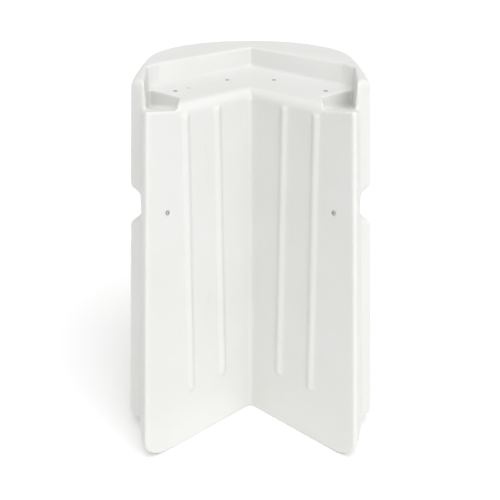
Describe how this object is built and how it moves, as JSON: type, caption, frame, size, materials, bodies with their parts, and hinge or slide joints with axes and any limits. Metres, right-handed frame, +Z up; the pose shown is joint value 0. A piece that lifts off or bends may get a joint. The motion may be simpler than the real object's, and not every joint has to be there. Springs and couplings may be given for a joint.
{
  "type": "water filled barrier",
  "caption": "Hollow moulded water-fill barrier body with a right-angle notch down its front, strap groove, rimmed top deck, screw filler cap and drain plug.",
  "frame": {"origin": "centre of the bounding box on the floor", "axes": "+Z up; the notch opens towards -Y; +X to the right seen from the notch side"},
  "size_m": [0.6872, 0.7479, 1],
  "materials": {
    "shell_white": "natural white rotomoulded polyethylene, faintly translucent",
    "fitting_white": "moulded white",
    "cap_white": "injection moulded white, satin",
    "seal_rubber": "matt",
    "insert_steel": "turned"
  },
  "bodies": {
    "shell": {"body_shell": "shell_white", "fill_neck": "fitting_white", "drain_bush": "fitting_white", "vent_bush": "fitting_white", "deck_inserts": "insert_steel", "wing_inserts": "insert_steel"},
    "fill_cap_seal": {"fill_cap_seal": "seal_rubber"},
    "fill_cap": {"fill_cap": "cap_white"},
    "drain_plug_seal": {"drain_plug_seal": "seal_rubber"},
    "drain_plug": {"drain_plug": "cap_white"},
    "vent_plug": {"vent_plug": "cap_white"}
  },
  "joints": [
    {"name": "fill_cap_travel", "type": "slide", "parent": "shell", "child": "fill_cap_seal", "axis": [0, 1, 0], "range_m": [0, 0.0301]},
    {"name": "fill_cap_turn", "type": "hinge", "parent": "fill_cap_seal", "child": "fill_cap", "pos_m": [0, 0.311, 0.88], "axis": [0, 1, 0], "range_deg": [0, 1800]},
    {"name": "drain_plug_travel", "type": "slide", "parent": "shell", "child": "drain_plug_seal", "axis": [0, 1, 0], "range_m": [0, 0.0241]},
    {"name": "drain_plug_turn", "type": "hinge", "parent": "drain_plug_seal", "child": "drain_plug", "pos_m": [0, 0.333, 0.068], "axis": [0, 1, 0], "range_deg": [0, 2880]},
    {"name": "vent_plug_pull", "type": "slide", "parent": "shell", "child": "vent_plug", "axis": [0, 0, 1], "range_m": [0, 0.015]}
  ],
  "couplings": [
    {"joint": "fill_cap_travel", "follows": "fill_cap_turn", "m_per_rad": 0.00095493},
    {"joint": "drain_plug_travel", "follows": "drain_plug_turn", "m_per_rad": 0.00047746}
  ]
}
